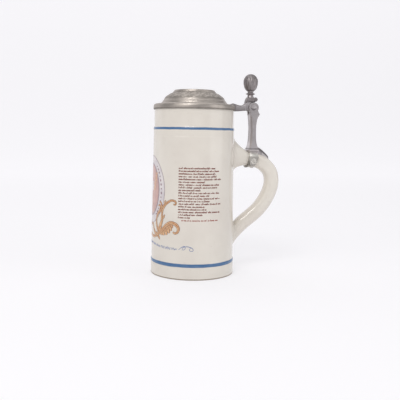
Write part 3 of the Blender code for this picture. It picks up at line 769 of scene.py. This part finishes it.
def garland(angle, share):
    """Relief of the cast wreath round the dome: leaves in pairs, berries and a winding stem."""
    turn = angle / (2 * math.pi) * GARLAND_REPEATS
    u = (turn % 1.0) * 2 - 1
    v = share * 2 - 1
    heights = []
    for offset in (-2, 0, 2):
        for leaf_u, leaf_v, long, wide, lean in GARLAND_LEAVES:
            heights.append(leaf_bump(u, v, (offset + leaf_u, leaf_v), (long, wide), lean))
        for berry_u, berry_v in GARLAND_BERRIES:
            inside = 1 - ((u - offset - berry_u) / 0.17) ** 2 - ((v - berry_v) / 0.26) ** 2
            heights.append(math.sqrt(max(inside, 0.0)))
    stem = v - 0.28 * math.sin(math.pi * u)
    heights.append(0.45 * math.exp(-(stem / 0.10) ** 2))
    return max(heights) * smoothstep(0.0, 0.12, share) * smoothstep(1.0, 0.88, share)


def lid_profile():
    """The lid's section in metres, as four runs: inside, flange, dome and crown."""
    edge, base, top = 40.5, lid_low[2] / MM, lid_high[2] / MM
    inside = raised(top, [(0.0, -3.2, 0.0), (16.0, -3.4, 3.0)])
    inside += raised(base, [(25.0, 12.6, 3.0), (29.6, 7.4, 2.0), (29.8, 1.0, 0.5), (39.9, 1.0, 0.1),
                            (39.9, 0.0, 0.0)])
    flange = raised(base, [
        (edge - 0.15, 0.0, 0.0), (edge, 1.0, 0.4), (edge, 3.2, 1.0), (edge - 0.7, 5.1, 1.2),
        (edge - 3.4, 5.7, 0.5), (edge - 3.9, 5.2, 0.25), (edge - 6.4, 5.5, 0.4), (32.9, 6.0, 0.5),
        (32.5, 7.3, 0.6), (31.9, 7.4, 0.2), (31.6, 8.2, 0.2), (31.2, 8.8, 0.4), (30.5, 9.3, 0.2),
        (30.3, 9.9, 0.3), (29.9, 10.5, 0.0)])
    dome = []
    for step in range(1, DOME_ROWS + 1):
        share = step / DOME_ROWS
        dome.append((lerp(29.9, 21.4, share ** 1.28) * MM, (base + lerp(10.5, 16.9, share ** 0.93)) * MM))
    crown = raised(base, [(21.4, 16.9, 0.0), (21.3, 16.7, 0.1), (21.3, 17.7, 0.4), (20.5, 17.8, 0.2),
                          (20.4, 18.3, 0.2)])
    crown += raised(top, [(20.0, 0.0, 0.9), (17.6, 0.0, 0.8), (16.6, -0.9, 0.3), (14.6, -1.2, 0.5),
                          (12.5, -0.8, 0.5), (11.9, -1.1, 0.3), (6.0, -1.0, 2.0), (0.0, -0.8, 0.0)])
    return soften(inside, 4), soften(flange), dome, soften(crown)[1:]


def make_lid(pewter):
    """Cast lid: a stepped flange, turned rings, a cast wreath standing out from the dome and a raised top
    ring.
    """
    inside, flange, dome, crown = lid_profile()
    first_row = len(inside) + len(flange)
    crown_row = first_row + DOME_ROWS
    rosette_r = 11.6 * MM
    relief_and_painted_light = []

    def place(radius, height, angle, row):
        rise, shine_and_painted_light = 0.0, 0.95
        if first_row <= row < crown_row:
            rise = 0.34 * MM * garland(angle, (row - first_row + 1) / DOME_ROWS)
            shine_and_painted_light = 0.46 + 1.6 * rise / MM
        elif row >= crown_row and 0 < radius < rosette_r:
            petal = abs(math.cos(4 * angle)) ** 0.7
            petal *= smoothstep(0.0, 3.0 * MM, radius) * smoothstep(rosette_r, 9.5 * MM, radius)
            rise = 0.35 * MM * petal
            shine_and_painted_light = 0.3 + 1.2 * rise / MM
        elif row < len(inside):
            shine_and_painted_light = 0.1
        # Painted shade: the lowest 1.3 mm of the flange is set darker, for the shadow in the gap over the
        # mug's lip.
        elif height < lid_low[2] + 1.3 * MM:
            shine_and_painted_light = 0.35
        relief_and_painted_light.append(shine_and_painted_light)
        return upright(radius + rise * 0.6, height + rise * 0.75, angle)

    shape = Shape()
    shape.turn(inside + flange + dome + crown, 384, place)
    lid = shape.piece("cast_pewter_lid", pewter, "lid", "pewter", ["lid"], 35)
    set_relief_and_painted_light(lid, relief_and_painted_light)


# ---------------- pewter hinge and thumblift

def across_pin(radius, height, angle, row=0):
    """A turned point about the hinge axis; height runs along it."""
    return (PIN_X + radius * math.cos(angle), height, PIN_Z + radius * math.sin(angle))


def disc(x, z, radius, steps=28):
    return [(x * MM + radius * MM * math.cos(2 * math.pi * k / steps),
             z * MM + radius * MM * math.sin(2 * math.pi * k / steps)) for k in range(steps)]


def arc_round_pin(radius, degrees):
    return [(PIN_X + radius * math.cos(math.radians(a)), PIN_Z + radius * math.sin(math.radians(a)))
            for a in degrees]


def crosswise(x, low, high, half, cut):
    """One upright section across the arm: a rectangle with its corners cut off, in mm."""
    return [(x * MM, y * MM, z * MM) for y, z in (
        (-half, low + cut), (-half + cut, low), (half - cut, low), (half, low + cut),
        (half, high - cut), (half - cut, high), (-half + cut, high), (-half, high - cut))]


# Sections of the tang: distance from the axis, lower and upper height, half width, cut corner.
TONGUE_LEVELS = [
    (36.9, 169.0, 169.5, 2.0, 0.15), (37.2, 169.0, 170.0, 3.0, 0.3), (38.0, 169.0, 170.4, 4.0, 0.4),
    (39.4, 169.0, 170.5, 4.5, 0.4), (41.2, 168.6, 170.0, 4.5, 0.4)]
ARM_LEVELS = [
    (40.75, 163.2, 169.9, 4.4, 0.5), (41.2, 163.1, 169.9, 4.5, 0.6), (43.2, 163.1, 169.2, 4.5, 0.7),
    (46.2, 163.3, 168.5, 4.4, 0.7), (49.3, 163.6, 168.7, 4.4, 0.7), (51.3, 163.8, 169.9, 4.4, 0.7),
    (52.4, 163.9, 171.2, 4.4, 0.6), (53.1, 164.0, 172.1, 4.4, 0.4), (54.3, 164.1, 172.3, 4.4, 0.3),
    (54.55, 164.3, 172.2, 4.3, 0.3)]
RIB_LEVELS = [
    (38.2, 169.6, 170.5, 0.6, 0.2), (39.6, 169.6, 171.0, 1.3, 0.4), (43.2, 167.0, 170.0, 1.4, 0.5),
    (46.2, 166.5, 169.2, 1.4, 0.5), (49.3, 166.5, 169.4, 1.4, 0.5), (51.6, 167.0, 171.2, 1.3, 0.4),
    (52.8, 168.0, 172.2, 1.2, 0.3)]


def make_tang(pewter):
    """Arm soldered to the lid's edge: a round-ended tongue on the flange, and the middle knuckle."""
    shape = Shape()
    for levels in (TONGUE_LEVELS, ARM_LEVELS, RIB_LEVELS):
        shape.loft([crosswise(*level) for level in curve_through(levels, 3)])
    # Cheeks that follow the round heads of the fork with a hairline gap.
    cheek = arc_round_pin(KNUCKLE_R + 0.12 * MM, range(214, 106, -6))
    cheek += in_mm([(58.0, 172.4), (53.4, 172.4), (52.9, 170.5), (53.1, 164.5)])
    for low, high in ((-4.4 * MM, -1.5 * MM), (1.5 * MM, 4.4 * MM)):
        shape.prism(cheek, low, high, along_y, 0.15 * MM)
    knuckle = disc(PIN_X / MM, PIN_Z / MM, KNUCKLE_R / MM, 36)
    shape.prism(knuckle, -KNUCKLE_W / 2, KNUCKLE_W / 2, along_y, 0.3 * MM)
    neck = ((53.6, 164.2), (56.0, 163.4), (60.0, 162.4))
    shape.loft([crosswise(x, low, 172.1, 1.98, 0.2) for x, low in neck])
    tang = shape.piece("pewter_tang_and_knuckle", pewter, "lid", "pewter", ["lid_tang"], 35)
    # Painted shade: the arm's underside, below 164.5 mm, is set dark; the tongue on the flange, short of 41.4
    # mm, is set dark too; the rest is rubbed.
    set_relief_and_painted_light(tang, [0.15 if v.co.z < 164.5 * MM or v.co.x < 41.4 * MM else 0.6
                      for v in tang.data.vertices])


# Rows of leaves on the thumb ball: middle and half height as shares of the ball, and stagger.
BALL_ROWS = [(0.16, 0.13, 0.0), (0.34, 0.14, 0.5), (0.53, 0.14, 0.0), (0.71, 0.12, 0.5), (0.86, 0.09, 0.0)]


def ball_relief(angle, share):
    """Cast pattern on the thumb ball: staggered rows of small pointed leaves, smaller towards the top."""
    turn = angle / (2 * math.pi) * 10
    height = 0.0
    for centre, tall, shift in BALL_ROWS:
        u = ((turn + shift) % 1.0) * 2 - 1
        v = (share - centre) / tall
        inside = 1 - (u / (0.95 - 0.35 * max(v, 0.0))) ** 2 - v ** 2
        if inside > 0:
            height = max(height, math.sqrt(inside) * (1 - 0.5 * math.exp(-(u / 0.16) ** 2)))
    return height


def add_scroll(shape, base):
    """Scrolled foot of the thumblift: a cast plate with a round boss at each curl."""
    half = 3.1 * MM
    outline = [(57.1, -0.12, 0.1), (57.0, -0.7, 0.1), (52.3, -0.7, 0.2), (52.7, 1.8, 1.0), (53.7, 4.3, 1.0),
               (55.4, 5.4, 0.8), (59.6, 5.4, 0.8), (61.4, 4.6, 0.8), (62.2, -0.05, 0.3)]
    shape.prism(round_outline(raised(base, outline)), -half, half, along_y, 0.7 * MM)
    # Bosses: distance from the axis, height, radius, points round, how far they stand out, bevel.
    for x, z, radius, steps, proud, bevel in (
            (62.7, 2.8, 2.2, 28, 0.2, 0.5), (62.7, 2.8, 0.9, 18, 0.6, 0.3),
            (55.2, 2.6, 1.9, 28, 0.1, 0.5), (58.6, 2.3, 1.1, 18, 0.45, 0.3)):
        reach = half + proud * MM
        shape.prism(disc(x, base + z, radius, steps), -reach, reach, along_y, bevel * MM)


def make_thumblift(pewter):
    """Scrolled foot, short turned neck with a sharp collar, and an egg-shaped ball to press."""
    axis_x, base, top = 57.9, thumb_low[2] / MM, thumb_high[2] / MM
    shape = Shape()
    add_scroll(shape, base)
    neck = soften(raised(base, [
        (0.0, 1.0, 0.0), (3.6, 4.6, 0.3), (3.1, 6.0, 0.6), (2.7, 7.2, 0.4), (4.7, 8.1, 0.3), (4.8, 8.6, 0.2),
        (3.3, 9.3, 0.3), (2.6, 10.0, 0.5), (3.1, 10.9, 0.4), (3.4, 11.4, 0.2)]), 4)
    # The ball starts on the neck, 62 degrees below its widest level, and is taller above it.
    rows, ball, start = 48, [], 62
    low_z, wide_z = base + 11.0, top - 8.1
    for step in range(rows + 1):
        lean = math.radians(lerp(-start, 90, step / rows))
        tall = (wide_z - low_z) / math.sin(math.radians(start)) if lean < 0 else 8.2
        reach = 7.1 * math.cos(lean) * MM if step < rows else 0.0
        ball.append((reach, (wide_z + tall * math.sin(lean)) * MM))
    first_row = len(neck)
    relief_and_painted_light = []

    def place(radius, height, angle, row):
        rise, shine_and_painted_light = 0.0, 0.8
        if row >= first_row:
            pattern = ball_relief(angle, (row - first_row) / rows)
            rise, shine_and_painted_light = 0.34 * MM * pattern, 0.22 + 0.45 * pattern
        relief_and_painted_light.append(shine_and_painted_light)
        reach = radius + rise * min(radius / (3 * MM), 1.0)
        return (axis_x * MM + reach * math.cos(angle), reach * math.sin(angle), height + 0.3 * rise)

    plain = len(shape.vertices)
    shape.turn(neck + ball, 128, place)
    lift = shape.piece("pewter_thumblift", pewter, "lid", "pewter", ["thumblift"], 35)
    set_relief_and_painted_light(lift, [0.55] * plain + relief_and_painted_light)


def chamfered(front, back, half, cut, z):
    """One level of the post: a rectangle with its four corners cut off, in mm."""
    return [(x * MM, y * MM, z * MM) for x, y in (
        (front + cut, -half), (back - cut, -half), (back, -half + cut), (back, half - cut),
        (back - cut, half), (front + cut, half), (front, half - cut), (front, -half + cut))]


# Levels of the post from its foot to under the ears: height, front, back, half width, cut corner.
POST_LEVELS = [
    (120.0, 56.2, 65.0, 5.8, 0.7), (122.4, 55.4, 65.6, 6.3, 0.8), (123.4, 55.3, 65.9, 6.9, 0.8),
    (124.0, 55.1, 66.5, 7.7, 0.8), (124.8, 55.1, 66.5, 7.8, 0.8), (125.3, 55.7, 66.2, 7.3, 0.9),
    (126.2, 56.2, 65.9, 7.1, 1.0), (128.2, 56.7, 65.2, 6.6, 1.2), (131.0, 57.2, 64.4, 6.1, 1.4),
    (135.5, 57.7, 63.9, 5.8, 1.5), (141.0, 57.85, 63.65, 5.7, 1.5), (147.5, 57.8, 63.65, 5.7, 1.5),
    (152.0, 57.5, 64.0, 5.7, 1.5), (156.0, 57.25, 64.8, 5.7, 1.3), (158.4, 57.1, 65.8, 5.65, 0.9),
    (160.0, 57.0, 66.8, 5.55, 0.5), (160.8, 57.2, 66.5, 5.5, 0.4), (161.2, 57.4, 65.8, 5.5, 0.4)]
# Tongue on the handle's back: distance from the axis, lower and upper height, half width.
BACK_TONGUE = [
    (61.0, 121.5, 131.0, 5.3), (64.5, 121.0, 128.4, 5.0), (66.6, 120.4, 127.4, 4.4),
    (68.6, 119.4, 126.5, 4.3), (70.8, 118.2, 124.8, 4.3), (73.5, 116.2, 122.5, 4.1),
    (76.3, 113.9, 120.1, 3.6), (78.0, 112.4, 118.2, 2.6), (78.7, 111.8, 116.6, 1.5)]
BACK_CREST = [(60, 131.5), (65, 128.2), (68, 126.6), (70.5, 125), (73.5, 122.5), (76.3, 120.1), (78, 118.2),
              (78.7, 116.6)]


def grooved(x, low, high, wide):
    """One section across the back tongue: a groove on each side and a rounded crest, in mm."""
    side = [(wide, low), (wide, high - 2.6), (wide - 0.55, high - 2.2), (wide - 0.55, high - 1.6),
            (wide - 0.1, high - 1.2), (wide - 0.7, high - 0.3), (wide * 0.5, high)]
    return [(x * MM, y * MM, z * MM) for y, z in [(-y, z) for y, z in side] + side[::-1]]


def post_shine_and_painted_highlight(x, y, z):
    """How rubbed the post is at a place in mm: bright on the flange's edge, which is also a painted
    highlight, and on the tongue's crest; dark in the groove over the flange and in those along the tongue."""
    if x > 67.5:
        crest = table_value(BACK_CREST, x)
        if z >= crest - 0.6:
            return 1.4
        return 0.0 if z > crest - 2.5 else 0.9
    if 126.4 < z < 136.0 and x < 66.5:
        return lerp(1.1, 0.55, smoothstep(127.0, 136.0, z))
    if 125.1 < z < 126.4:
        return 0.2
    # Painted highlight: the flange's rounded edge is set past full brightness; the rest of the post sits at
    # 0.55.
    return 1.4 if 123.9 < z < 124.95 and abs(y) > 6.8 else 0.55


def make_post(pewter):
    """Fork of the hinge: two round ears on a tall chamfered post, and a tongue on the handle's back."""
    shape = Shape()
    levels = curve_through(POST_LEVELS, 3)
    shape.loft([chamfered(front, back, half, cut, z) for z, front, back, half, cut in levels])
    # Ears: round heads that run down into the post on both sides of the knuckle.
    ear = arc_round_pin(KNUCKLE_R, range(-30, 217, 6))
    ear += in_mm([(56.6, 161.6), (56.8, 159.6), (66.0, 159.6), (66.9, 160.6), (65.7, 162.0)])
    for side in (-1, 1):
        low, high = sorted((side * (KNUCKLE_W / 2 + GAP), side * HINGE_W / 2))
        shape.prism(ear, low, high, along_y, 0.35 * MM)
    shape.loft([grooved(*level) for level in curve_through(BACK_TONGUE, 4)])
    post = shape.piece("pewter_post_with_ears", pewter, "mug", "pewter", ["hinge_post"], 30)
    set_relief_and_painted_light(post, [post_shine_and_painted_highlight(*(value / MM for value in v.co)) for v in post.data.vertices])


# Along the arm: distance from the axis, and how far the band stands off the glaze, in mm.
BAND_STATIONS = [(55.6, 0.15), (55.2, 1.5), (55.5, 2.0), (56.2, 1.9), (57.2, 1.45), (58.6, 1.3),
                 (62.0, 1.3), (63.8, 1.35), (64.6, 1.6), (65.3, 1.6), (65.6, 1.2), (65.5, 0.15)]
BADGE_FACE = 9.25 * MM


def add_band(shape):
    """Band round the upper arm, with a lip at both edges; its back edge slants forward below."""
    route = curve_through(HANDLE_ROUTE, 24)
    upper_arm = [index for index, here in enumerate(route) if here[1] > 100]
    rings = []
    for x, grow in BAND_STATIONS:
        index = min(upper_arm, key=lambda k: abs(route[k][0] - x))
        here = route[index]
        ring = section((x, *here[1:]), route[index - 1 if index else 0], route[index + 1], grow=grow * MM)
        for point in ring:
            lag = 0.26 * abs(here[1] * MM - point.z) * smoothstep(57.0, 65.0, x)
            point.x -= lag
            point.z += 0.27 * lag
        rings.append(ring)
    shape.loft(rings)


def add_badge(shape, side):
    """Square badge on one side of the band: a plate with a raised frame and an eight-petal rosette."""
    def off(x, z, depth):
        return (x, side * depth, z)

    plate = in_mm([(57.0, 118.4), (65.8, 118.0), (65.0, 113.6), (63.5, 110.0), (61.5, 107.7), (56.9, 107.9),
                   (56.3, 111.4), (56.5, 115.2)])
    face = BADGE_FACE
    shape.prism(plate, 6.5 * MM, face, off, 0.2 * MM)
    rings = []
    for (a, b), (c, d) in zip(shrink(plate, 0.15 * MM), shrink(plate, 1.1 * MM)):
        rings.append([off(lerp(a, c, share), lerp(b, d, share), face + rise * MM)
                      for share, rise in ((0.0, -0.3), (0.2, 0.5), (0.8, 0.5), (1.0, -0.3))])
    shape.loft(rings, looped=True)
    centre = Vector((60.6 * MM, 112.9 * MM))
    for petal in range(8):
        angle = math.pi / 4 * petal
        ahead = Vector((math.cos(angle), math.sin(angle)))
        aside = Vector((-ahead.y, ahead.x))
        rings = []
        for share, wide in ((0.0, 0.25), (0.3, 0.75), (0.6, 0.95), (0.85, 0.65), (1.0, 0.15)):
            spot = centre + ahead * lerp(0.9, 3.3, share) * MM
            left, right = spot + aside * wide * MM, spot - aside * wide * MM
            mid = face + 0.55 * MM * math.sin(math.pi * lerp(0.1, 0.9, share))
            rings.append([off(*left, face - 0.2 * MM), off(*left, face + 0.1 * MM), off(*spot, mid),
                          off(*right, face + 0.1 * MM), off(*right, face - 0.2 * MM)])
        shape.loft(rings)
    shape.prism(disc(60.6, 112.9, 0.9, 12), face - 0.2 * MM, face + 0.5 * MM, off, 0.25 * MM)


def make_strap(pewter):
    """Band cast round the handle's upper arm, with lips at its edges and a badge on each side."""
    shape = Shape()
    add_band(shape)
    band = len(shape.vertices)
    for side in (-1, 1):
        add_badge(shape, side)
    strap = shape.piece("pewter_strap_and_badges", pewter, "mug", "pewter", ["handle_strap"], 35)
    worn_and_painted_light = []
    for index, v in enumerate(strap.data.vertices):
        x, y, z = (value / MM for value in v.co)
        # Band: dark along its front edge by the wall; above 117.5 mm set past full brightness as a painted
        # highlight on its shoulder; 0.6 elsewhere. Badges: rubbed on the raised frame and rosette.
        if index < band:
            worn_and_painted_light.append(0.0 if x < 56.0 else (1.5 if z > 117.5 else 0.6))
        else:
            worn_and_painted_light.append(0.85 if abs(y) > 9.5 else 0.4)
    set_relief_and_painted_light(strap, worn_and_painted_light)


def make_plugs(pewter):
    """Solder caps over the two ends of the pin: low domes with a rim."""
    # Radius of each turned step, and how far it stands off the ear.
    profile = [(0.0, -0.2), (2.7, -0.2), (2.7, 0.5), (2.5, 0.75), (2.1, 0.85), (1.7, 0.72), (1.2, 0.85),
               (0.6, 0.95), (0.0, 0.98)]
    for side, name, node in ((-1, "solder_plug_right", "pin_plug_right"),
                             (1, "solder_plug_left", "pin_plug_left")):
        shape = Shape()
        shape.turn([(r * MM, side * (HINGE_W / 2 + off * MM)) for r, off in profile], 48, across_pin)
        plug = shape.piece(name, pewter, "mug", "pewter", [node], 35)
        # Painted shade: the lower half of each cap is set dark and the upper half rubbed bright.
        set_relief_and_painted_light(plug, [0.9 if v.co.z > PIN_Z - 0.6 * MM else 0.0 for v in plug.data.vertices])


# ---------------- floor, light and camera

def make_stage():
    """A pale paper sweep: flat floor that curves up well behind the mug."""
    reach, bend = 4.0, 0.8
    line = [(-3.0, 0.0), (1.4, 0.0)]
    line += [(1.4 + bend * math.sin(math.radians(a)), bend - bend * math.cos(math.radians(a)))
             for a in range(9, 91, 9)]
    line += [(2.2, 3.4)]
    mesh = bpy.data.meshes.new("studio_floor")
    mesh.from_pydata([(x, y, z) for y, z in line for x in (-reach, reach)], [],
                     [[2 * k, 2 * k + 1, 2 * k + 3, 2 * k + 2] for k in range(len(line) - 1)])
    mesh.shade_smooth()
    mesh.materials.append(studio_paper())
    floor = bpy.data.objects.new("studio_floor", mesh)
    bpy.context.scene.collection.objects.link(floor)


def add_softbox(name, place, size, power, colour="#FFFFFF"):
    """A rectangular lamp that faces the middle of the stein."""
    light = bpy.data.lights.new(name, 'AREA')
    light.shape = 'RECTANGLE'
    light.size, light.size_y = size
    light.energy = power
    light.color = linear(colour)[:3]
    lamp = bpy.data.objects.new(name, light)
    lamp.location = place
    towards = Vector((0.0, 0.0, 0.10)) - Vector(place)
    lamp.rotation_euler = towards.to_track_quat('-Z', 'Y').to_euler()
    bpy.context.scene.collection.objects.link(lamp)


def light_studio():
    world = bpy.data.worlds.new("pale_studio")
    world.use_nodes = True
    plug_in(world.node_tree.nodes["Background"], Color=linear("#F4F4F8"), Strength=0.44)
    bpy.context.scene.world = world
    add_softbox("key_softbox_left", (-0.9, -0.9, 0.75), (1.0, 1.0), 3.35, "#FFFDF9")
    add_softbox("fill_softbox_right", (1.0, -0.7, 0.5), (1.0, 1.0), 2.95)
    add_softbox("top_softbox", (0.0, 0.1, 1.2), (1.2, 1.2), 3.4)
    add_softbox("small_front_lamp", (-0.33, -0.66, 0.84), (0.42, 0.15), 2.5)


def make_camera():
    """Eye level with the upper half of the mug, square to the side of the handle."""
    turn, yaw, pitch, roll = (math.radians(value) for value in (-12.0, 0.704, 6.375, 1.02))
    ahead = Vector((-math.sin(turn), math.cos(turn), 0.0))
    side = Vector((math.cos(turn), math.sin(turn), 0.0))
    level = ahead * math.cos(yaw) + side * math.sin(yaw)
    right = side * math.cos(yaw) - ahead * math.sin(yaw)
    forward = level * math.cos(pitch) - Vector((0, 0, math.sin(pitch)))
    up = right.cross(forward)
    rolled_right = right * math.cos(roll) + up * math.sin(roll)
    rolled_up = up * math.cos(roll) - right * math.sin(roll)
    stand = Matrix((rolled_right, rolled_up, -forward)).transposed().to_4x4()
    stand.translation = (-0.12308, -0.57906, 0.1394)
    data = bpy.data.cameras.new("camera")
    data.lens = 52.92
    data.sensor_width = 36.0
    camera = bpy.data.objects.new("camera", data)
    camera.matrix_world = stand
    bpy.context.scene.collection.objects.link(camera)
    bpy.context.scene.camera = camera


# ---------------- the stein

glaze = stoneware_glaze()
make_mug(glaze, bare_clay_and_painted_contact_shade())
make_handle(glaze)

# Each enamel's material name, its two tones, and the size of its patches in mm.
enamels = {short: fired_enamel(*finish) for short, finish in {
    "pearl": ("pearl_white_enamel", "#CFC8CB", "#E2DCDA", 6.0),
    "rose": ("rose_pink_enamel", "#C29C96", "#D0ADA5", 8.0),
    "plum_grey": ("plum_grey_enamel", "#8F8089", "#A8979F", 3.0),
    "plum": ("plum_enamel", "#7A5A66", "#96727C", 2.0),
    "umber": ("umber_line_enamel", "#6A412C", "#875A42", 2.0),
    "amber": ("amber_tan_enamel", "#D09C70", "#E5C199", 2.4),
    "sienna": ("sienna_vein_enamel", "#865135", "#9F6746", 1.6),
    "brick": ("brick_brown_script_enamel", "#6C372D", "#87493C", 2.0),
    "red_clay": ("red_clay_script_enamel", "#8E4236", "#A65546", 2.0),
    "slate_blue": ("slate_blue_enamel", "#66779F", "#808EB5", 2.0)}.items()}
make_medallion(enamels)
make_leaf_scrolls(enamels)
make_script_panel(enamels)
make_blue_flourish(enamels["slate_blue"])

make_lid(cast_pewter("turned_pewter_lid", "#605B55", "#B7AFA7", 0.40, 0.60))
# This pewter's vertex value also carries the painted shade on the tang and the caps and the painted highlight
# on the post's flange.
pewter = cast_pewter("aged_cast_pewter_and_painted_light", "#716B6C", "#CFC9C9", 0.34, 0.54)
make_tang(pewter)
make_thumblift(cast_pewter("dark_cast_pewter_ball", "#5C5656", "#ABA4A4", 0.40, 0.58))
make_post(pewter)
# The strap's pewter has a paler light tone, which paints the highlight on the band's shoulder.
make_strap(cast_pewter("rubbed_pewter_strap_and_painted_highlight", "#79746F", "#E0DCD5", 0.34, 0.52))
make_plugs(pewter)
bpy.data.objects["hinge_pin"].material_slots[0].material = drawn_steel()

make_stage()
light_studio()
make_camera()
bpy.context.scene.view_settings.view_transform = 'Standard'
